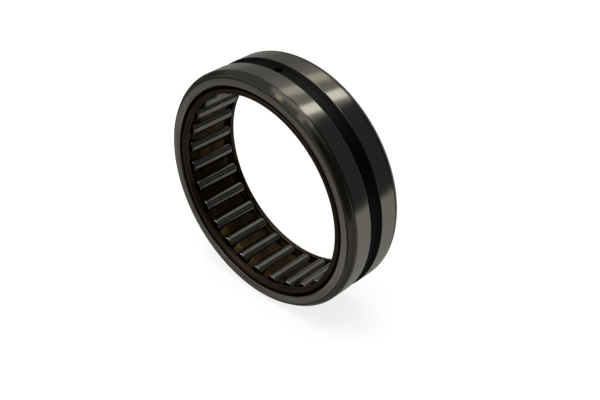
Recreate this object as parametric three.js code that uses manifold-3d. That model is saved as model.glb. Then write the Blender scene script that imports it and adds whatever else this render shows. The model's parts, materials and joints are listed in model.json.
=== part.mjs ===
import * as THREE from 'three';
import { mergeVertices } from 'three/addons/utils/BufferGeometryUtils.js';
import Module from 'manifold-3d';

// Machined needle roller bearing without an inner ring: a ribbed outer ring with a lubrication
// groove and hole, a profiled sheet-steel cage, and a full row of needle rollers that run straight
// on the shaft. Millimetres. The bearing axis is Y, the front face looks along -Y, and the origin
// is the centre of the bearing. Angles about the axis are counted from +Z towards +X.

// Boundary dimensions of the bearing
const outerDiameter = 90;
const width = 25;
const boreUnderRollers = 72;

// Needle rollers
const rollerCount = 29;
const rollerDiameter = 5;
const rollerLength = 19;
const rollerEndChamferRadial = 0.5;
const rollerEndChamferAxial = 0.6;
const firstRollerAngle = -0.35;

// Outer ring
const internalClearance = 0.03;
const racewayWidth = 19.3;
const ribBore = 80.2;
const ribChamfer = 0.3;
const outerChamferRadial = 1.56;
const outerChamferAxial = 2.13;
const grooveMouth = 5.86;
const grooveFloor = 3.4;
const grooveDepth = 1.3;
const lubricationHoleDiameter = 3;
const lubricationHoleAngle = -0.8;

// Cage: a rounded flange turned inwards at each end, a shoulder behind it outside the pitch circle,
// and bars that dip under the pitch circle so that the rollers cannot fall into the bore
const cageWidth = 24.7;
const flangeInnerRadius = 37.1;
const flangeOuterRadius = 38.95;
const flangeWidth = 1.9;
const flangeEdge = 0.5;
const flangeOuterEdge = 0.7;
const shoulderInnerRadius = 38.5;
const shoulderOuterRadius = 39.7;
const shoulderStart = 8.8;
const shoulderEnd = 9.95;
const barInnerRadius = 37;
const barOuterRadius = 38.3;
const barHalfLength = 6.2;
const pocketLength = 19.5;
const pocketSideClearance = 0.06;
const pocketMouth = 4.2;

// The cage is a single sheet-steel ring. It is divided in the middle of eight bars into sectors
// that turn together, because a closed ring has no convex outline but each sector nearly does.
const pocketsPerSector = [4, 4, 3, 4, 4, 3, 4, 3];
const sectorGap = 0.05;

// Roundness of the faceted solids
const ringFacets = 96;
const cageFacets = 3 * rollerCount;
const rollerFacets = 16;
const holeFacets = 20;
const pocketArcSteps = 3;

// Worked out from the driving dimensions
const outerRadius = outerDiameter / 2;
const rollerRadius = rollerDiameter / 2;
const pitchRadius = boreUnderRollers / 2 + rollerRadius;
const racewayRadius = pitchRadius + rollerRadius + internalClearance;
const pitchAngle = 360 / rollerCount;
const radians = THREE.MathUtils.degToRad;

const wasm = await Module();
wasm.setup();

// Only the positions are kept, so that shared vertices merge and the surface is closed.
function closed(geometry) {
  geometry.deleteAttribute('normal');
  geometry.deleteAttribute('uv');
  return mergeVertices(geometry, 1e-4);
}

function toManifold(geometry) {
  const source = closed(geometry);
  return new wasm.Manifold(new wasm.Mesh({
    numProp: 3,
    vertProperties: new Float32Array(source.attributes.position.array),
    triVerts: new Uint32Array(source.index.array),
  }));
}

function toGeometry(solid) {
  const result = solid.getMesh();
  const geometry = new THREE.BufferGeometry();
  geometry.setAttribute('position', new THREE.BufferAttribute(result.vertProperties, 3));
  geometry.setIndex(new THREE.BufferAttribute(result.triVerts, 1));
  return geometry;
}

// A ring of revolution about Y. The outline holds [radius, y] points and runs up the outside.
function ring(outline, facets) {
  const points = [...outline, outline[0]].map(([radius, y]) => new THREE.Vector2(radius, y));
  return closed(new THREE.LatheGeometry(points, facets));
}

// An outline that is the same on both sides of the middle plane, from its half with y above 0.
function mirrored(outside, inside) {
  const below = (points) => points.map(([radius, y]) => [radius, -y]).reverse();
  return [...below(outside), ...outside, ...inside, ...below(inside)];
}

function outerRingGeometry() {
  const face = width / 2;
  const outside = [
    [outerRadius - grooveDepth, grooveFloor / 2],
    [outerRadius, grooveMouth / 2],
    [outerRadius, face - outerChamferAxial],
    [outerRadius - outerChamferRadial, face],
  ];
  const inside = [
    [ribBore / 2 + ribChamfer, face],
    [ribBore / 2, face - ribChamfer],
    [ribBore / 2, racewayWidth / 2],
    [racewayRadius, racewayWidth / 2],
  ];
  const drill = new THREE.CylinderGeometry(
    lubricationHoleDiameter / 2, lubricationHoleDiameter / 2, outerRadius / 2, holeFacets);
  drill.rotateX(Math.PI / 2);
  drill.translate(0, 0, outerRadius);
  drill.rotateY(radians(lubricationHoleAngle));
  const blank = toManifold(ring(mirrored(outside, inside), ringFacets));
  return toGeometry(blank.subtract(toManifold(drill)));
}

function cageBlank() {
  const end = cageWidth / 2;
  const flangeBack = end - flangeWidth;
  const outside = [
    [barOuterRadius, barHalfLength],
    [shoulderOuterRadius, shoulderStart],
    [shoulderOuterRadius, shoulderEnd],
    [flangeOuterRadius, flangeBack + flangeEdge],
    [flangeOuterRadius, end - flangeOuterEdge],
    [flangeOuterRadius - flangeOuterEdge, end],
  ];
  const inside = [
    [flangeInnerRadius + flangeEdge, end],
    [flangeInnerRadius, end - flangeEdge],
    [flangeInnerRadius, flangeBack],
    [shoulderInnerRadius, shoulderEnd],
    [shoulderInnerRadius, shoulderStart],
    [barInnerRadius, barHalfLength],
  ];
  return toManifold(ring(mirrored(outside, inside), cageFacets));
}

// One pocket as a prism along Y, at angle 0. Seen along the axis it is a keyhole: a mouth narrower
// than the roller towards the bore, a round seat at the roller, and straight walls outwards.
function pocketCutter() {
  const seat = rollerRadius + pocketSideClearance;
  const mouth = pocketMouth / 2;
  const mouthAngle = Math.asin(mouth / seat);
  const keyhole = [new THREE.Vector2(mouth, barInnerRadius - rollerRadius)];
  for (let step = 0; step <= pocketArcSteps; step += 1) {
    const angle = mouthAngle + (Math.PI / 2 - mouthAngle) * (step / pocketArcSteps);
    keyhole.push(new THREE.Vector2(seat * Math.sin(angle), pitchRadius - seat * Math.cos(angle)));
  }
  keyhole.push(new THREE.Vector2(seat, racewayRadius));
  const otherSide = keyhole.map((point) => new THREE.Vector2(-point.x, point.y)).reverse();
  const shape = new THREE.Shape([...keyhole, ...otherSide]);
  const prism = new THREE.ExtrudeGeometry(shape, { depth: pocketLength, bevelEnabled: false });
  prism.translate(0, 0, -pocketLength / 2);
  prism.rotateX(Math.PI / 2);
  return prism;
}

function wholeCage() {
  let cage = cageBlank();
  for (let index = 0; index < rollerCount; index += 1) {
    const cutter = pocketCutter();
    cutter.rotateY(radians(index * pitchAngle));
    cage = cage.subtract(toManifold(cutter));
  }
  return cage;
}

// A prism along Y that holds one sector of the cage, from the bar before its first pocket to the
// bar after its last one, less half the gap at each side.
function sectorWedge(firstPocket, pockets) {
  const reach = outerDiameter;
  const halfGap = sectorGap / 2 / pitchRadius;
  const start = radians((firstPocket - 0.5) * pitchAngle) + halfGap;
  const end = radians((firstPocket + pockets - 0.5) * pitchAngle) - halfGap;
  const shape = new THREE.Shape([
    new THREE.Vector2(0, 0),
    new THREE.Vector2(reach * Math.sin(end), reach * Math.cos(end)),
    new THREE.Vector2(reach * Math.sin(start), reach * Math.cos(start)),
  ]);
  const wedge = new THREE.ExtrudeGeometry(shape, { depth: 2 * width, bevelEnabled: false });
  wedge.translate(0, 0, -width);
  wedge.rotateX(Math.PI / 2);
  return wedge;
}

function cageSectorGeometries() {
  const cage = wholeCage();
  let firstPocket = 0;
  return pocketsPerSector.map((pockets) => {
    const sector = cage.intersect(toManifold(sectorWedge(firstPocket, pockets)));
    firstPocket += pockets;
    return toGeometry(sector);
  });
}

function rollerGeometry() {
  const end = rollerLength / 2;
  const profile = [
    [0, -end],
    [rollerRadius - rollerEndChamferRadial, -end],
    [rollerRadius, rollerEndChamferAxial - end],
    [rollerRadius, end - rollerEndChamferAxial],
    [rollerRadius - rollerEndChamferRadial, end],
    [0, end],
  ];
  const points = profile.map(([radius, y]) => new THREE.Vector2(radius, y));
  return closed(new THREE.LatheGeometry(points, rollerFacets));
}

const ringSteel = new THREE.MeshStandardMaterial({
  color: 0x8c8a80, roughness: 0.32, metalness: 1.0,
});
const cageSteel = new THREE.MeshStandardMaterial({
  color: 0x5e4a35, roughness: 0.5, metalness: 0.9,
});
const rollerSteel = new THREE.MeshStandardMaterial({
  color: 0x9c9b96, roughness: 0.16, metalness: 1.0,
});

function part(name, geometry, material) {
  const mesh = new THREE.Mesh(geometry, material);
  mesh.name = name;
  return mesh;
}

const bearing = new THREE.Group();
bearing.add(part('outer_ring', outerRingGeometry(), ringSteel));

// The cage and its rollers turn together about the bearing axis.
const rollerSet = new THREE.Group();
rollerSet.rotation.y = radians(firstRollerAngle);
cageSectorGeometries().forEach((geometry, index) => {
  rollerSet.add(part(`cage_sector_${index + 1}`, geometry, cageSteel));
});
for (let index = 0; index < rollerCount; index += 1) {
  const angle = radians(index * pitchAngle);
  const number = String(index + 1).padStart(2, '0');
  const roller = part(`roller_${number}`, rollerGeometry(), rollerSteel);
  roller.position.set(pitchRadius * Math.sin(angle), 0, pitchRadius * Math.cos(angle));
  roller.rotation.y = angle;
  rollerSet.add(roller);
}
bearing.add(rollerSet);

export default bearing;
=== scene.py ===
import json
import math

import bmesh
import bpy
from mathutils import Matrix, Vector

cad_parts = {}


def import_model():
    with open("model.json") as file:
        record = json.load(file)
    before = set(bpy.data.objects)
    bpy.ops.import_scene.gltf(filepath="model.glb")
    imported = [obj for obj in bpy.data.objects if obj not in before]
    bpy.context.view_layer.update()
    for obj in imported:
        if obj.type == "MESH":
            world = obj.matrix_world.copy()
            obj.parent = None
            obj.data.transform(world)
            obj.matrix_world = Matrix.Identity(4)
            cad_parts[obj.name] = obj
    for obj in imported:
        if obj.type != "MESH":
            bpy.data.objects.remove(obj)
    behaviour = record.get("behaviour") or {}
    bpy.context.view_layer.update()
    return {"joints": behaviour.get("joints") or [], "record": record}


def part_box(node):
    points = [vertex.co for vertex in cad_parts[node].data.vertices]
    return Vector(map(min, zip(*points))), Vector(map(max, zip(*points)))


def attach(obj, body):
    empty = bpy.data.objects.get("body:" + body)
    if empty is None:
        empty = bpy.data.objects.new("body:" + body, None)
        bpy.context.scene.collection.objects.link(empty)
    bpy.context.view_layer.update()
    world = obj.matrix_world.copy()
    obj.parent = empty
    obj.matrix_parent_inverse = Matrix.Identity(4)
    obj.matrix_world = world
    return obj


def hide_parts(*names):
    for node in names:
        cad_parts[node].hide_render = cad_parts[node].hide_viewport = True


# A machined needle roller bearing: ground outer ring, brown tempered sheet-steel cage and polished
# needle rollers. The axis is Y, the front face looks along -Y and angles run from +Z towards +X.

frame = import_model()

MM = 0.001

# Points closer than this are one, in metres
WELD = 1e-7
CAGE_WELD = 2 * WELD

# Corners steeper than this stay crisp, in degrees
RING_SHARP = 30
CAGE_SHARP = 40
ROLLER_SHARP = 50

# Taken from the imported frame
RING_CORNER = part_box("outer_ring")[1]
OUTER_RADIUS = RING_CORNER.z
HALF_WIDTH = RING_CORNER.y
CAGE_NODES = frame["record"]["behaviour"]["bodies"]["cage"]
CAGE_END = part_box(CAGE_NODES[0])[1].y
ROLLER_HALF_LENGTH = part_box("roller_01")[1].y
ROLLER_JOINTS = [joint for joint in frame["joints"] if joint["child"].startswith("roller_")]
ROLLER_COUNT = len(ROLLER_JOINTS)
FIRST_X, _, FIRST_Z = ROLLER_JOINTS[0]["pos_m"]
PITCH_RADIUS = math.hypot(FIRST_X, FIRST_Z)
FIRST_ANGLE = math.atan2(FIRST_X, FIRST_Z)

# Outer ring
RIB_RADIUS = 40.1 * MM
RACEWAY_RADIUS = 41.03 * MM
RACEWAY_HALF = 9.65 * MM
CHAMFER_RADIAL = 1.56 * MM
CHAMFER_AXIAL = 2.13 * MM
GROOVE_MOUTH_HALF = 2.93 * MM
GROOVE_FLOOR_HALF = 1.7 * MM
GROOVE_DEPTH = 1.3 * MM
GROOVE_FLOOR_FILLET = 0.45 * MM
GROOVE_MOUTH_FILLET = 0.3 * MM
CHAMFER_OUTER_FILLET = 2.2 * MM
CHAMFER_INNER_FILLET = 1.2 * MM
RACEWAY_FILLET = 0.2 * MM
RIB_CORNER_FILLET = 0.1 * MM
RIB_MOUTH_FILLET = 0.3 * MM
RING_SEGMENTS = 360

# Lubrication hole
HOLE_RADIUS = 1.5 * MM
HOLE_ANGLE = math.radians(-0.8)
COUNTERSINK = 0.25 * MM
DRILL_REACH = 2 * MM
DRILL_SEGMENTS = 48

# Rollers
ROLLER_RADIUS = 2.5 * MM
ROLLER_EDGE_RADIAL = 0.55 * MM
ROLLER_EDGE_AXIAL = 0.6 * MM
ROLLER_DISH = 0.04 * MM
ROLLER_DISH_SHARE = 0.45
ROLLER_SEGMENTS = 48
ROLLER_EDGE_STEPS = 6
ROLLER_LENGTH_STEPS = 8

# Cage
FLANGE_INNER = 37.1 * MM
FLANGE_OUTER = 38.95 * MM
FLANGE_BACK = 10.42 * MM
SHOULDER_INNER = 38.5 * MM
SHOULDER_OUTER = 39.7 * MM
SHOULDER_END = 10.2 * MM
SHOULDER_EDGE = 0.2 * MM
SHOULDER_SLOPE = 0.9 * MM
SHOULDER_FILLET = 0.15 * MM
FLANGE_ROOT_FILLET = 0.4 * MM
FLANGE_OUTER_FILLET = 0.7 * MM
FLANGE_INNER_FILLET = 0.6 * MM
FLANGE_BACK_FILLET = 0.35 * MM
FLANGE_BACK_SLOPE = 0.05 * MM
FLANGE_CORNER_FILLET = 0.12 * MM
BAR_INNER = 37.0 * MM
BAR_OUTER = 38.3 * MM
RAMP_START = 5.7 * MM
RAMP_END = 9.3 * MM
POCKET_HALF_LENGTH = 9.75 * MM
POCKET_CORNER = 0.6 * MM
POCKET_MOUTH_HALF = 2.1 * MM
POCKET_SEAT = 2.56 * MM
INNER_ROUND_SIDE = 0.55 * MM
INNER_ROUND_END = 0.3 * MM
INNER_ROUND_DEPTH = 0.5 * MM
OUTER_ROUND = 0.2 * MM
BAR_STATIONS = 34
POCKET_END_STATIONS = 4
CORNER_STEPS = 4
ROUND_STEPS = 4
SHEET_STEPS = 3
WALL_STEPS = 3

# Colours, with a pair where noise mixes two of them
GROUND_GREY = ((0.47, 0.445, 0.395), (0.55, 0.53, 0.48))
GROUND_BAND = (0.52, 0.5, 0.455)
OLIVE_FILM = (0.5, 0.475, 0.34)
OIL_STAIN = (0.16, 0.12, 0.085)
HEAT_BLACK = ((0.042, 0.043, 0.048), (0.075, 0.075, 0.076))
# The chamfer's grey: partly its turned finish, partly painted shade for the darker room it reflects
TURNED_GREY_AND_SHADE = ((0.14, 0.132, 0.112), (0.24, 0.23, 0.198))
RIM_SHADOW = (0.06, 0.055, 0.05)
# Painted shade in and round the lubrication hole
HOLE_PAINTED_SHADE = (0.006, 0.006, 0.006)
BAR_BROWN = ((0.05, 0.03, 0.018), (0.13, 0.078, 0.026))
BAR_BLOTCH = (0.035, 0.022, 0.016)
WORN_EDGE = (0.1, 0.075, 0.045)
FLANGE_BROWN = ((0.095, 0.066, 0.056), (0.14, 0.098, 0.074))
FLANGE_TEMPER = (0.15, 0.098, 0.058)
LAPPED_GREY = ((0.37, 0.365, 0.345), (0.3, 0.295, 0.27))
OILY_END_AND_SHADE = (0.075, 0.068, 0.058)


def body_of_node(node):
    """The name of the CAD body that a node belongs to."""
    for body, nodes in frame["record"]["behaviour"]["bodies"].items():
        if node in nodes:
            return body
    raise ValueError(node)


def rounded(corners, steps=5):
    """Points along a polyline of (radius, y, fillet) corners, with each fillet as an arc."""
    points = [Vector(corners[0][:2])]
    for before, corner, after in zip(corners, corners[1:], corners[2:]):
        here = Vector(corner[:2])
        if corner[2] == 0:
            points.append(here)
            continue
        back = (Vector(before[:2]) - here).normalized()
        ahead = (Vector(after[:2]) - here).normalized()
        half_angle = back.angle(ahead) / 2
        reach = corner[2] / math.tan(half_angle)
        centre = here + (back + ahead).normalized() * (corner[2] / math.sin(half_angle))
        start = here + back * reach - centre
        end = here + ahead * reach - centre
        turn = start.angle_signed(end)
        for step in range(steps + 1):
            # angle_signed counts clockwise turns as positive
            spin = Matrix.Rotation(-turn * step / steps, 2)
            points.append(centre + spin @ start)
    points.append(Vector(corners[-1][:2]))
    return points


def mirrored_corners(half):
    """A half outline of (radius, |y|, fillet) corners from the middle out, after its mirror image."""
    below = [(radius, -y, fillet) for radius, y, fillet in reversed(half)]
    return below + list(half)


def on_ring(radius, y, angle):
    return Vector((radius * math.sin(angle), y, radius * math.cos(angle)))


def add_lathe(bm, outline, segments, closed):
    """Sweeps an outline of (radius, y) points round the Y axis."""
    rows = []
    for index in range(segments):
        angle = 2 * math.pi * index / segments
        rows.append([bm.verts.new(on_ring(radius, y, angle)) for radius, y in outline])
    last = len(outline) if closed else len(outline) - 1
    for index, row in enumerate(rows):
        following = rows[(index + 1) % segments]
        for k in range(last):
            after = (k + 1) % len(outline)
            bm.faces.new((row[k], following[k], following[after], row[after]))


def shade_smooth(mesh, sharp_angle):
    mesh.polygons.foreach_set("use_smooth", [True] * len(mesh.polygons))
    mesh.set_sharp_from_angle(angle=math.radians(sharp_angle))


def finished_object(name, bm, sharp_angle):
    """Turns a bmesh into a smooth-shaded object whose real corners stay crisp."""
    bmesh.ops.recalc_face_normals(bm, faces=bm.faces)
    mesh = bpy.data.meshes.new(name)
    bm.to_mesh(mesh)
    bm.free()
    shade_smooth(mesh, sharp_angle)
    piece = bpy.data.objects.new(name, mesh)
    bpy.context.scene.collection.objects.link(piece)
    return piece


# ---------------------------------------------------------------- outer ring


def ring_outline():
    """The closed outline of the ring, from the middle of one side face round the outside."""
    chamfer_radius = OUTER_RADIUS - CHAMFER_RADIAL
    floor_radius = OUTER_RADIUS - GROOVE_DEPTH
    outside = mirrored_corners([
        (floor_radius, GROOVE_FLOOR_HALF, GROOVE_FLOOR_FILLET),
        (OUTER_RADIUS, GROOVE_MOUTH_HALF, GROOVE_MOUTH_FILLET),
        (OUTER_RADIUS, HALF_WIDTH - CHAMFER_AXIAL, CHAMFER_OUTER_FILLET),
        (chamfer_radius, HALF_WIDTH, CHAMFER_INNER_FILLET),
    ])
    inside = mirrored_corners([
        (RACEWAY_RADIUS, RACEWAY_HALF, RACEWAY_FILLET),
        (RIB_RADIUS, RACEWAY_HALF, RIB_CORNER_FILLET),
        (RIB_RADIUS, HALF_WIDTH, RIB_MOUTH_FILLET),
    ])
    middle = (RIB_RADIUS + chamfer_radius) / 2
    start = [(middle, -HALF_WIDTH, 0)]
    loop = start + outside + [(middle, HALF_WIDTH, 0)] + inside[::-1] + start
    return rounded(loop)[:-1]


def lubrication_drill():
    """A countersunk cutter for the lubrication hole."""
    floor_radius = OUTER_RADIUS - GROOVE_DEPTH
    outline = [
        (0, RIB_RADIUS - DRILL_REACH),
        (HOLE_RADIUS, RIB_RADIUS - DRILL_REACH),
        (HOLE_RADIUS, floor_radius - COUNTERSINK),
        (HOLE_RADIUS + 2 * COUNTERSINK, floor_radius + COUNTERSINK),
        (0, floor_radius + COUNTERSINK),
    ]
    bm = bmesh.new()
    add_lathe(bm, outline, DRILL_SEGMENTS, closed=True)
    bmesh.ops.remove_doubles(bm, verts=bm.verts, dist=WELD)
    bmesh.ops.rotate(bm, verts=bm.verts, matrix=Matrix.Rotation(math.radians(90), 3, "X"))
    bmesh.ops.rotate(bm, verts=bm.verts, matrix=Matrix.Rotation(HOLE_ANGLE, 3, "Y"))
    return finished_object("drill", bm, RING_SHARP)


def outer_ring():
    """The ring of revolution with the lubrication hole drilled through the groove's floor."""
    bm = bmesh.new()
    add_lathe(bm, ring_outline(), RING_SEGMENTS, closed=True)
    ring = finished_object("ground_outer_ring", bm, RING_SHARP)
    drill = lubrication_drill()
    cut = ring.modifiers.new("lubrication hole", "BOOLEAN")
    cut.operation = "DIFFERENCE"
    cut.solver = "EXACT"
    cut.object = drill
    depsgraph = bpy.context.evaluated_depsgraph_get()
    mesh = bpy.data.meshes.new_from_object(ring.evaluated_get(depsgraph), depsgraph=depsgraph)
    ring.modifiers.clear()
    ring.data = mesh
    bpy.data.objects.remove(drill)
    shade_smooth(mesh, RING_SHARP)
    return ring


# ---------------------------------------------------------------- cage


def smooth_step(value):
    value = min(1.0, max(0.0, value))
    return value * value * (3 - 2 * value)


def ramp_rise(y):
    """How far the sheet has risen from the bar to the shoulder, from 0 to 1."""
    return smooth_step((abs(y) - RAMP_START) / (RAMP_END - RAMP_START))


def bar_inner_radius(y):
    return BAR_INNER + (SHOULDER_INNER - BAR_INNER) * ramp_rise(y)


def bar_outer_radius(y):
    return BAR_OUTER + (SHOULDER_OUTER - BAR_OUTER) * ramp_rise(y)


def pocket_half_width(radius):
    """Half the pocket's width at a radius: it follows the roller under the pitch circle."""
    drop = PITCH_RADIUS - radius
    if drop <= 0:
        return POCKET_SEAT
    return max(POCKET_MOUTH_HALF, math.sqrt(max(0.0, POCKET_SEAT ** 2 - drop ** 2)))


def pocket_rim():
    """The pocket's rounded rectangle, as (quarter, along, normal_x, normal_y), along from -1 to 1."""
    rim = []
    for quarter in range(4):
        lengthwise = quarter % 2 == 0
        stations = BAR_STATIONS if lengthwise else POCKET_END_STATIONS
        turn = quarter * math.pi / 2
        for step in range(stations):
            along = 2 * step / stations - 1
            rim.append((quarter, along, round(math.cos(turn)), round(math.sin(turn))))
        for step in range(CORNER_STEPS):
            angle = turn + math.pi / 2 * step / CORNER_STEPS
            rim.append((quarter, 1.0, math.cos(angle), math.sin(angle)))
    return rim


def rim_point(entry, half_width, offset_side, offset_end):
    """Where a rim entry lies, as (across, y), pushed outwards along the rim's normal."""
    quarter, along, normal_x, normal_y = entry
    inner_width = half_width - POCKET_CORNER
    inner_length = POCKET_HALF_LENGTH - POCKET_CORNER
    corner_x, corner_y = (
        (1, along),
        (-along, 1),
        (-1, -along),
        (along, -1),
    )[quarter]
    across = corner_x * inner_width + (POCKET_CORNER + offset_side) * normal_x
    y = corner_y * inner_length + (POCKET_CORNER + offset_end) * normal_y
    return across, y


def frame_point(entry):
    """The point of the sector's outer frame that a rim entry joins, as (angle, y)."""
    quarter, along, normal_x, normal_y = entry
    half_pitch = math.pi / ROLLER_COUNT
    end_angle = (POCKET_SEAT - POCKET_CORNER) / PITCH_RADIUS
    straight = POCKET_HALF_LENGTH - POCKET_CORNER
    # How far the rim's normal has turned, from 0 across the pocket to 1 along it
    share = abs(math.atan2(normal_y, normal_x))
    share = min(share, math.pi - share) / (math.pi / 2)
    if quarter in (0, 2):
        side = 1 if quarter == 0 else -1
        if along < 1:
            return side * half_pitch, side * along * straight
        if share <= 0.5:
            rise = straight + (SHOULDER_END - straight) * share * 2
            return side * half_pitch, side * rise
        angle = half_pitch + (end_angle - half_pitch) * (share * 2 - 1)
        return side * angle, side * SHOULDER_END
    side = -1 if quarter == 1 else 1
    if along < 1:
        return side * along * end_angle, -side * SHOULDER_END
    share = 1 - share
    if share <= 0.5:
        angle = end_angle + (half_pitch - end_angle) * share * 2
        return side * angle, -side * SHOULDER_END
    rise = SHOULDER_END + (straight - SHOULDER_END) * (share * 2 - 1)
    return side * half_pitch, -side * rise


def sector_loops():
    """Loops of (radius, angle, y, edge) from the inner frame over the pocket wall to the outer one."""
    rim = pocket_rim()
    loops = []

    def surface_point(entry, radius_at, offset, drop, sign):
        along_y = rim_point(entry, POCKET_SEAT, 0, offset[1])[1]
        radius = radius_at(along_y) + sign * drop
        across, y = rim_point(entry, pocket_half_width(radius), offset[0], offset[1])
        return radius, across / radius, y

    inner_edge = (INNER_ROUND_SIDE, INNER_ROUND_END)
    outer_edge = (OUTER_ROUND, OUTER_ROUND)
    for surface, edge, depth, sign in (
        (bar_inner_radius, inner_edge, INNER_ROUND_DEPTH, 1),
        (bar_outer_radius, outer_edge, OUTER_ROUND, -1),
    ):
        side_loops = []
        for step in range(SHEET_STEPS):
            share = step / SHEET_STEPS
            loop = []
            for entry in rim:
                frame_angle, frame_y = frame_point(entry)
                _, angle, y = surface_point(entry, surface, edge, 0, sign)
                y = frame_y + (y - frame_y) * share
                angle = frame_angle + (angle - frame_angle) * share
                loop.append((surface(y), angle, y, 0.0))
            side_loops.append(loop)
        for step in range(ROUND_STEPS + 1):
            turn = math.pi / 2 * step / ROUND_STEPS
            offset = (edge[0] * (1 - math.sin(turn)), edge[1] * (1 - math.sin(turn)))
            drop = depth * (1 - math.cos(turn))
            side_loops.append([
                (*surface_point(entry, surface, offset, drop, sign), math.sin(2 * turn))
                for entry in rim
            ])
        loops.append(side_loops)
    inner_loops, outer_loops = loops
    wall = []
    for step in range(1, WALL_STEPS):
        share = step / WALL_STEPS
        loop = []
        for low, high, entry in zip(inner_loops[-1], outer_loops[-1], rim):
            radius = low[0] + (high[0] - low[0]) * share
            across, y = rim_point(entry, pocket_half_width(radius), 0, 0)
            loop.append((radius, across / radius, y, 0.0))
        wall.append(loop)
    return inner_loops + wall + outer_loops[::-1]


def end_outline():
    """The flange at the cage's end, from the shoulder's outside round to its inside."""
    return rounded([
        (SHOULDER_OUTER, SHOULDER_END, 0),
        (SHOULDER_OUTER, SHOULDER_END + SHOULDER_EDGE, SHOULDER_FILLET),
        (FLANGE_OUTER, SHOULDER_END + SHOULDER_SLOPE, FLANGE_ROOT_FILLET),
        (FLANGE_OUTER, CAGE_END, FLANGE_OUTER_FILLET),
        (FLANGE_INNER, CAGE_END, FLANGE_INNER_FILLET),
        (FLANGE_INNER, FLANGE_BACK, FLANGE_BACK_FILLET),
        (SHOULDER_INNER, FLANGE_BACK - FLANGE_BACK_SLOPE, FLANGE_CORNER_FILLET),
        (SHOULDER_INNER, SHOULDER_END, 0),
    ])


def cage():
    """The whole cage in one piece: a sector round each pocket, welded to its neighbours."""
    bm = bmesh.new()
    edge_layer = bm.verts.layers.float.new("edge")
    pitch = 2 * math.pi / ROLLER_COUNT
    loops = sector_loops()
    outline = end_outline()
    frame_points = map(frame_point, pocket_rim())
    end_angles = sorted({round(angle, 9) for angle, y in frame_points if y > SHOULDER_END - WELD})
    for index in range(ROLLER_COUNT):
        middle = FIRST_ANGLE + index * pitch
        rows = []
        for loop in loops:
            row = []
            for radius, angle, y, edge in loop:
                vertex = bm.verts.new(on_ring(radius, y, middle + angle))
                vertex[edge_layer] = edge
                row.append(vertex)
            rows.append(row)
        for row, following in zip(rows, rows[1:]):
            for k in range(len(row)):
                after = (k + 1) % len(row)
                bm.faces.new((row[k], row[after], following[after], following[k]))
        for side in (1, -1):
            columns = [
                [bm.verts.new(on_ring(radius, side * y, middle + angle)) for radius, y in outline]
                for angle in end_angles
            ]
            for column, following in zip(columns, columns[1:]):
                for k in range(len(outline) - 1):
                    bm.faces.new((column[k], column[k + 1], following[k + 1], following[k]))
    bmesh.ops.remove_doubles(bm, verts=bm.verts, dist=CAGE_WELD)
    return finished_object("tempered_cage", bm, CAGE_SHARP)


# ---------------------------------------------------------------- rollers


def roller(name, centre):
    """A needle roller parallel to Y, with rounded end corners and faintly dished ends."""
    half = [
        (0.0, ROLLER_HALF_LENGTH - ROLLER_DISH),
        (ROLLER_RADIUS * ROLLER_DISH_SHARE, ROLLER_HALF_LENGTH - ROLLER_DISH / 2),
    ]
    for step in range(ROLLER_EDGE_STEPS + 1):
        turn = math.pi / 2 * step / ROLLER_EDGE_STEPS
        half.append((
            ROLLER_RADIUS - ROLLER_EDGE_RADIAL * (1 - math.sin(turn)),
            ROLLER_HALF_LENGTH - ROLLER_EDGE_AXIAL * (1 - math.cos(turn)),
        ))
    straight = ROLLER_HALF_LENGTH - ROLLER_EDGE_AXIAL
    body = [
        (ROLLER_RADIUS, straight * (1 - 2 * step / ROLLER_LENGTH_STEPS))
        for step in range(1, ROLLER_LENGTH_STEPS)
    ]
    outline = half + body + [(radius, -y) for radius, y in reversed(half)]
    bm = bmesh.new()
    add_lathe(bm, outline, ROLLER_SEGMENTS, closed=False)
    bmesh.ops.remove_doubles(bm, verts=bm.verts, dist=WELD)
    bmesh.ops.translate(bm, verts=bm.verts, vec=centre)
    return finished_object(name, bm, ROLLER_SHARP)


# ---------------------------------------------------------------- materials


class Nodes:
    """A small helper that adds nodes and links to a material or world."""

    def __init__(self, tree):
        self.tree = tree
        self.tree.nodes.clear()

    def add(self, kind, inputs=None, **settings):
        node = self.tree.nodes.new(kind)
        for key, value in settings.items():
            setattr(node, key, value)
        for key, value in (inputs or {}).items():
            socket = node.inputs[key]
            if isinstance(value, bpy.types.NodeSocket):
                self.tree.links.new(value, socket)
            else:
                socket.default_value = value
        return node

    def math(self, operation, first, second=0.0):
        inputs = {0: first, 1: second}
        return self.add("ShaderNodeMath", inputs, operation=operation).outputs[0]

    def length(self, first, second):
        squares = [self.math("MULTIPLY", part, part) for part in (first, second)]
        return self.math("SQRT", self.math("ADD", *squares))

    def dot(self, vector, direction):
        inputs = {0: vector, 1: direction}
        node = self.add("ShaderNodeVectorMath", inputs, operation="DOT_PRODUCT")
        return node.outputs["Value"]

    def noise(self, vector, scale, detail=3.0, roughness=0.5):
        inputs = {"Vector": vector, "Scale": scale, "Detail": detail, "Roughness": roughness}
        return self.add("ShaderNodeTexNoise", inputs).outputs["Fac"]

    def ramp(self, value, low, high, to_low=0.0, to_high=1.0):
        inputs = {"Value": value, 1: low, 2: high, 3: to_low, 4: to_high}
        node = self.add("ShaderNodeMapRange", inputs, interpolation_type="SMOOTHSTEP")
        return node.outputs["Result"]

    def mix(self, share, first, second):
        node = self.add("ShaderNodeMix", data_type="RGBA")
        for socket, value in ((0, share), (6, first), (7, second)):
            if isinstance(value, bpy.types.NodeSocket):
                self.tree.links.new(value, node.inputs[socket])
            elif socket == 0:
                node.inputs[socket].default_value = value
            else:
                node.inputs[socket].default_value = (*value, 1.0)
        return node.outputs[2]

    def bump(self, height, distance, strength, normal=None):
        inputs = {"Height": height, "Distance": distance, "Strength": strength}
        if normal is not None:
            inputs["Normal"] = normal
        return self.add("ShaderNodeBump", inputs).outputs["Normal"]


def new_material(name):
    material = bpy.data.materials.new(name)
    material.use_nodes = True
    return material, Nodes(material.node_tree)


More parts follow.
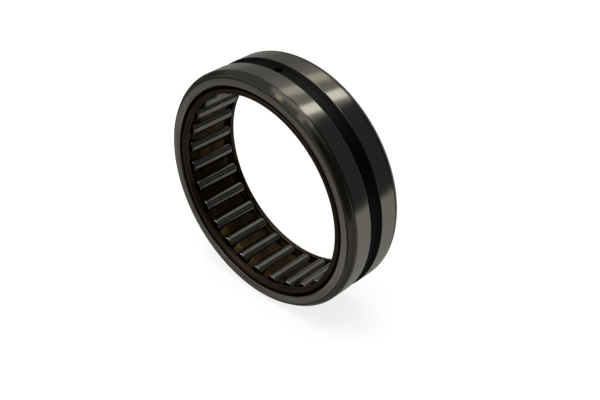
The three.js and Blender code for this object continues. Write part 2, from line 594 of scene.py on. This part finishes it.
def finish_metal(nodes, colour, roughness, normal, extra=None):
    shader = nodes.add("ShaderNodeBsdfPrincipled", {
        "Base Color": colour, "Roughness": roughness, "Metallic": 1.0, "Normal": normal,
        **(extra or {}),
    })
    nodes.add("ShaderNodeOutputMaterial", {"Surface": shader.outputs[0]})


def object_position(nodes):
    """The object position, and its parts along X, Y and Z."""
    position = nodes.add("ShaderNodeTexCoord").outputs["Object"]
    x, y, z = nodes.add("ShaderNodeSeparateXYZ", {"Vector": position}).outputs
    return position, x, y, z


def marks_round_axis(nodes, x, z, across, fineness, stretch):
    """Coordinates for marks that run round the axis: quick across them, slow along them."""
    return nodes.add("ShaderNodeCombineXYZ", {
        "X": nodes.math("MULTIPLY", x, stretch),
        "Y": nodes.math("MULTIPLY", across, fineness),
        "Z": nodes.math("MULTIPLY", z, stretch),
    }).outputs[0]


def ring_steel():
    """Ground steel with fine marks round the axis, a turned chamfer and a black groove."""
    material, nodes = new_material("ground_ring_steel")
    position, x, y, z = object_position(nodes)
    radius = nodes.length(x, z)
    side = nodes.math("ABSOLUTE", y)
    # It changes along the lands, the chamfers and the side faces alike.
    outline = nodes.math("SUBTRACT", radius, side)
    marks = nodes.noise(marks_round_axis(nodes, x, z, outline, 2600, 18), 1.0, 2.0, 0.6)
    bands = nodes.noise(marks_round_axis(nodes, x, z, outline, 520, 12), 1.0, 2.0)
    cloud = nodes.noise(position, 55.0, 4.0)

    # The groove keeps the black of the heat treatment. The hole in its floor, with a thin ring round
    # its mouth, is painted near-black as painted shade.
    groove = nodes.ramp(side, GROOVE_MOUTH_HALF - 0.15 * MM, GROOVE_MOUTH_HALF + 0.05 * MM, 1.0, 0.0)
    outside = nodes.ramp(radius, RACEWAY_RADIUS + 0.1 * MM, RACEWAY_RADIUS + 0.3 * MM)
    groove = nodes.math("MULTIPLY", groove, outside)
    across = nodes.math("SUBTRACT", nodes.math("MULTIPLY", x, math.cos(HOLE_ANGLE)),
                        nodes.math("MULTIPLY", z, math.sin(HOLE_ANGLE)))
    off_hole = nodes.length(across, side)
    hole = nodes.ramp(off_hole, HOLE_RADIUS + 0.02 * MM, HOLE_RADIUS + 0.4 * MM, 1.0, 0.0)
    hole = nodes.math("MULTIPLY", hole, nodes.ramp(z, 0.0, 1.0 * MM))

    # The chamfer is turned, with painted shade lines along both its edges, where the ground land and
    # the side face begin.
    steepness = CHAMFER_AXIAL / CHAMFER_RADIAL
    corner = nodes.math("ADD", nodes.math("MULTIPLY", radius, steepness), side)
    limit = OUTER_RADIUS * steepness + HALF_WIDTH - CHAMFER_AXIAL
    chamfer = nodes.ramp(corner, limit - 0.75 * MM, limit - 0.3 * MM)
    rim_shade = nodes.math("SUBTRACT", nodes.ramp(corner, limit - 1.1 * MM, limit - 0.8 * MM),
                          nodes.ramp(corner, limit - 0.5 * MM, limit - 0.2 * MM))

    # Oil stains run round the side faces, mostly near the bore.
    on_face = nodes.ramp(side, HALF_WIDTH - 0.3 * MM, HALF_WIDTH - 0.1 * MM)
    inward = nodes.ramp(radius, RIB_RADIUS + 0.3 * MM, RIB_RADIUS + 2.6 * MM, 1.0, 0.15)
    stain = nodes.noise(marks_round_axis(nodes, x, z, radius, 900, 34), 1.0, 3.0)
    stain = nodes.math("MULTIPLY", nodes.ramp(stain, 0.46, 0.66), inward)
    stain = nodes.math("MULTIPLY", stain, on_face)

    bright = nodes.mix(cloud, *GROUND_GREY)
    bright = nodes.mix(nodes.ramp(bands, 0.3, 0.7), bright, GROUND_BAND)
    film = nodes.ramp(nodes.noise(position, 24.0, 3.0), 0.5, 0.72, 0.0, 0.6)
    bright = nodes.mix(film, bright, OLIVE_FILM)
    bright = nodes.mix(nodes.math("MULTIPLY", stain, 0.75), bright, OIL_STAIN)
    # The chamfer's darker grey is partly its turned finish and partly painted shade, standing in for
    # the darker room that it reflects.
    turned = nodes.noise(marks_round_axis(nodes, x, z, outline, 900, 12), 1.0, 3.0, 0.6)
    turned = nodes.mix(nodes.ramp(turned, 0.35, 0.65), *TURNED_GREY_AND_SHADE)
    colour = nodes.mix(chamfer, bright, turned)
    # Painted shade along the chamfer's edges
    colour = nodes.mix(nodes.math("MULTIPLY", rim_shade, 0.6), colour, RIM_SHADOW)
    colour = nodes.mix(groove, colour, nodes.mix(cloud, *HEAT_BLACK))
    # Painted shade: the hole and a thin ring round it go near-black
    colour = nodes.mix(hole, colour, HOLE_PAINTED_SHADE)

    # Ground and turned surfaces blur reflections across their marks, not along them.
    fine = nodes.ramp(marks, 0.25, 0.75, 0.13, 0.18)
    roughness = nodes.math("ADD", fine, nodes.math("MULTIPLY", groove, 0.5))
    roughness = nodes.math("ADD", roughness, nodes.math("MULTIPLY", on_face, 0.07))
    grooves = nodes.bump(marks, 0.0006 * MM, 0.2)
    normal = nodes.bump(bands, 0.003 * MM, 0.12, grooves)
    around = nodes.add("ShaderNodeTangent", direction_type="RADIAL", axis="Y").outputs[0]
    finish_metal(nodes, colour, roughness, normal, {
        "Anisotropic": 0.9, "Anisotropic Rotation": 0.25, "Tangent": around,
    })
    return material


def cage_steel():
    """Sheet steel with temper colours, small dents and worn pocket edges."""
    material, nodes = new_material("tempered_cage_steel")
    position, _, y, _ = object_position(nodes)
    side = nodes.math("ABSOLUTE", y)
    cloud = nodes.noise(position, 120.0, 5.0, 0.6)
    blotch = nodes.noise(position, 420.0, 3.0, 0.55)
    grain = nodes.noise(position, 2600.0, 3.0, 0.6)
    edge = nodes.add("ShaderNodeAttribute", attribute_name="edge").outputs["Fac"]

    # The bars and ramps have a golden temper colour in patches, and the flange is dark and oily.
    brown = nodes.mix(nodes.ramp(cloud, 0.35, 0.7), *BAR_BROWN)
    brown = nodes.mix(nodes.ramp(blotch, 0.45, 0.8), brown, BAR_BLOTCH)
    brown = nodes.mix(nodes.math("MULTIPLY", edge, 0.3), brown, WORN_EDGE)
    flange = nodes.ramp(side, SHOULDER_END, SHOULDER_END + 0.5 * MM)
    dark = nodes.mix(nodes.ramp(cloud, 0.3, 0.7), *FLANGE_BROWN)
    temper = nodes.ramp(nodes.noise(position, 46.0, 3.0, 0.55), 0.45, 0.65, 0.0, 0.5)
    dark = nodes.mix(temper, dark, FLANGE_TEMPER)
    colour = nodes.mix(flange, brown, dark)

    roughness = nodes.ramp(blotch, 0.25, 0.75, 0.34, 0.5)
    dents = nodes.bump(blotch, 0.03 * MM, 0.35)
    normal = nodes.bump(grain, 0.008 * MM, 0.4, dents)
    finish_metal(nodes, colour, roughness, normal)
    return material


def roller_steel():
    """Lapped steel with streaks along the roller, and end faces darkened partly by an oily film and
    partly as painted shade.
    """
    material, nodes = new_material("lapped_roller_steel")
    position, _, y, _ = object_position(nodes)
    side = nodes.math("ABSOLUTE", y)
    mapping = {"Vector": position, "Scale": (1.0, 0.02, 1.0)}
    stretched = nodes.add("ShaderNodeMapping", mapping).outputs[0]
    streaks = nodes.noise(stretched, 2600.0, 3.0, 0.6)
    film = nodes.noise(position, 260.0, 4.0, 0.55)
    # The end faces are darkened, partly for oil and partly as painted shade.
    end_face = nodes.ramp(side, ROLLER_HALF_LENGTH - 0.14 * MM, ROLLER_HALF_LENGTH - 0.07 * MM)
    colour = nodes.mix(nodes.ramp(film, 0.3, 0.75), *LAPPED_GREY)
    colour = nodes.mix(end_face, colour, OILY_END_AND_SHADE)
    roughness = nodes.ramp(streaks, 0.3, 0.7, 0.13, 0.22)
    normal = nodes.bump(streaks, 0.004 * MM, 0.3)
    finish_metal(nodes, colour, roughness, normal)
    return material


# ---------------------------------------------------------------- pieces


def place(piece, nodes, material):
    piece.data.materials.clear()
    piece.data.materials.append(material)
    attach(piece, body_of_node(nodes[0]))
    for node in nodes:
        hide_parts(node)


def bearing():
    """Builds every piece, and returns the ring, the cage and the rollers."""
    ring = outer_ring()
    place(ring, ["outer_ring"], ring_steel())
    tempered_cage = cage()
    place(tempered_cage, CAGE_NODES, cage_steel())
    steel = roller_steel()
    rollers = []
    for joint in ROLLER_JOINTS:
        node = joint["child"]
        piece = roller(node.replace("roller", "needle_roller"), Vector(joint["pos_m"]))
        place(piece, [node], steel)
        rollers.append(piece)
    return ring, tempered_cage, rollers


# ---------------------------------------------------------------- studio


FLOOR_HALF = 4.0


def floor():
    """A pale floor under the bearing, which reflections in the steel don't show."""
    bm = bmesh.new()
    half = FLOOR_HALF
    corners = [(-half, -half), (half, -half), (half, half), (-half, half)]
    bm.faces.new([bm.verts.new((x, y, -OUTER_RADIUS)) for x, y in corners])
    plane = finished_object("studio_floor", bm, RING_SHARP)
    material, nodes = new_material("pale_floor")
    shader = nodes.add("ShaderNodeBsdfPrincipled", {
        "Base Color": (0.85, 0.85, 0.845, 1.0), "Roughness": 0.9, "Specular IOR Level": 0.0,
        "Emission Color": (1.0, 1.0, 1.0, 1.0), "Emission Strength": 0.8,
    })
    nodes.add("ShaderNodeOutputMaterial", {"Surface": shader.outputs[0]})
    plane.data.materials.append(material)
    plane.visible_glossy = False
    return plane


def softbox(name, direction, distance, size, brightness, colour):
    """A rectangular soft light of an even brightness that faces the bearing, its height along Y."""
    lamp = bpy.data.lights.new(name, "AREA")
    lamp.shape = "RECTANGLE"
    lamp.size, lamp.size_y = size
    lamp.energy = brightness * math.pi * size[0] * size[1]
    lamp.color = colour
    holder = bpy.data.objects.new(name, lamp)
    bpy.context.scene.collection.objects.link(holder)
    outwards = Vector(direction).normalized()
    holder.location = outwards * distance
    across = Vector((0.0, 1.0, 0.0)).cross(outwards).normalized()
    turned = Matrix((across, outwards.cross(across), outwards)).transposed()
    holder.rotation_euler = turned.to_euler()
    holder.visible_camera = False
    return holder


def light_only(lamp, pieces):
    """Keeps a lamp off everything but some pieces, as a flag beside the lamp does."""
    receivers = bpy.data.collections.new(lamp.name + "_receivers")
    for piece in pieces:
        receivers.objects.link(piece)
    lamp.light_linking.receiver_collection = receivers


# Dark flags round the table: (direction, inner and outer edge in degrees, colour)
DARK_FLAGS = (
    ((0.705, 0.594, 0.3875), 33, 39.5, (0.03, 0.03, 0.032)),
    ((0.758, -0.579, 0.302), 27, 42, (0.03, 0.03, 0.028)),
    ((-0.703, 0.594, 0.39), 7, 22, (0.13, 0.128, 0.12)),
    ((-0.99, 0.1, -0.05), 14, 30, (0.08, 0.079, 0.072)),
)

# What the steel sees round the table where there is no flag
UPPER_ROOM = (0.2, 0.198, 0.186)
LOWER_BACK = (0.25, 0.248, 0.235)
LOWER_FRONT = (0.065, 0.064, 0.061)
LOWER_RIGHT = (0.185, 0.178, 0.168)
UNDER_TABLE_EDGE = (0.15, 0.147, 0.137)
NEAR_STRIP = (0.255, 0.25, 0.235)
NEAR_STRIP_NORMAL = (0.342, 0.0, 0.94)
NEAR_STRIP_DROP = 0.731
SEEN_BY_CAMERA = (1.0, 1.0, 1.0)


def world():
    """A room of soft greys that reflections show, and plain white behind the bearing."""
    scene_world = bpy.data.worlds.new("studio")
    bpy.context.scene.world = scene_world
    scene_world.use_nodes = True
    nodes = Nodes(scene_world.node_tree)
    direction = nodes.add("ShaderNodeTexCoord").outputs["Generated"]
    split = nodes.add("ShaderNodeSeparateXYZ", {"Vector": direction})
    sideways, toward_back, upward = split.outputs

    # A lit strip along the table's near edge shows in the side face, a little askew.
    height = nodes.dot(direction, Vector(NEAR_STRIP_NORMAL))
    off_strip = nodes.math("ABSOLUTE", nodes.math("ADD", height, NEAR_STRIP_DROP))
    low = nodes.mix(nodes.ramp(off_strip, 0.01, 0.1), NEAR_STRIP, LOWER_FRONT)
    low = nodes.mix(nodes.ramp(upward, -0.74, -0.9), low, UNDER_TABLE_EDGE)
    low = nodes.mix(nodes.ramp(sideways, 0.2, 0.55), low, LOWER_RIGHT)
    low = nodes.mix(nodes.ramp(toward_back, 0.3, 0.55), low, LOWER_BACK)
    around = nodes.mix(nodes.ramp(upward, 0.1, -0.3), UPPER_ROOM, low)
    for flag, inner, outer, colour in DARK_FLAGS:
        toward = nodes.dot(direction, Vector(flag).normalized())
        shade = nodes.ramp(toward, math.cos(math.radians(outer)), math.cos(math.radians(inner)))
        around = nodes.mix(shade, around, colour)
    seen = nodes.add("ShaderNodeLightPath").outputs["Is Camera Ray"]
    colour = nodes.mix(seen, around, SEEN_BY_CAMERA)
    shader = nodes.add("ShaderNodeBackground", {"Color": colour, "Strength": 1.0})
    nodes.add("ShaderNodeOutputWorld", {"Surface": shader.outputs[0]})


# Lamps: (name, what it lights, direction, distance, (width, length along Y), brightness, colour).
# Some light only a group of pieces, and the ones that light all have no group.
WHITE = (1.0, 1.0, 1.0)
TOP = (0.0, -0.06, 1.0)
LAMPS = (
    ("overhead", "all but the ring", TOP, 1.4, (1.2, 1.1), 1.0, WHITE),
    ("overhead_on_ring", "ring", TOP, 1.4, (1.2, 1.1), 0.5, WHITE),
    ("right_strip_back", "ring", (0.0786, 0.594, 0.8004), 0.8, (0.112, 0.5), 0.95, (1.0, 1.0, 0.96)),
    ("right_strip_front", "all", (0.14, -0.548, 0.825), 0.8, (0.085, 0.14), 0.7, (1.0, 0.98, 0.85)),
    ("left_strip_back", "all", (-0.2525, 0.594, 0.7636), 0.8, (0.12, 0.5), 0.37, (1.0, 1.0, 0.87)),
    ("left_strip_front", "all", (-0.235, -0.47, 0.85), 0.8, (0.085, 0.14), 1.5, (1.0, 1.0, 0.6)),
    ("far_right_strip", "rollers", (0.687, 0.594, 0.418), 0.8, (0.15, 0.5), 0.08, WHITE),
    ("glint_light", "rollers", (-0.57, -0.56, 0.58), 0.8, (0.2, 0.2), 6.0, WHITE),
)


def studio(ring, tempered_cage, rollers):
    """The floor, the room and the lamps."""
    ground = floor()
    world()
    groups = {
        "ring": [ring],
        "rollers": rollers,
        "all but the ring": [ground, tempered_cage, *rollers],
    }
    for name, lights, direction, distance, size, brightness, colour in LAMPS:
        lamp = softbox(name, direction, distance, size, brightness, colour)
        if lights in groups:
            light_only(lamp, groups[lights])


# Camera, with its distance and aim in outer radii of the bearing
CAMERA_AZIMUTH = math.radians(43.9)
CAMERA_ELEVATION = math.radians(34.45)
CAMERA_DISTANCE = 8.0
CAMERA_AIM = (0.2683, -0.0529, -0.0339)
FOCAL_LENGTH = 61.87
SENSOR_WIDTH = 36.0


def camera():
    """The camera at the photograph's viewing angle."""
    back = Vector((
        math.cos(CAMERA_ELEVATION) * math.sin(CAMERA_AZIMUTH),
        -math.cos(CAMERA_ELEVATION) * math.cos(CAMERA_AZIMUTH),
        math.sin(CAMERA_ELEVATION),
    ))
    lens = bpy.data.cameras.new("camera")
    lens.lens = FOCAL_LENGTH
    lens.sensor_width = SENSOR_WIDTH
    lens.clip_start = 0.01
    holder = bpy.data.objects.new("camera", lens)
    bpy.context.scene.collection.objects.link(holder)
    holder.location = (Vector(CAMERA_AIM) + back * CAMERA_DISTANCE) * OUTER_RADIUS
    holder.rotation_euler = back.to_track_quat("Z", "Y").to_euler()
    bpy.context.scene.camera = holder


ring_piece, cage_piece, roller_pieces = bearing()
studio(ring_piece, cage_piece, roller_pieces)
camera()
bpy.context.scene.view_settings.view_transform = "Standard"
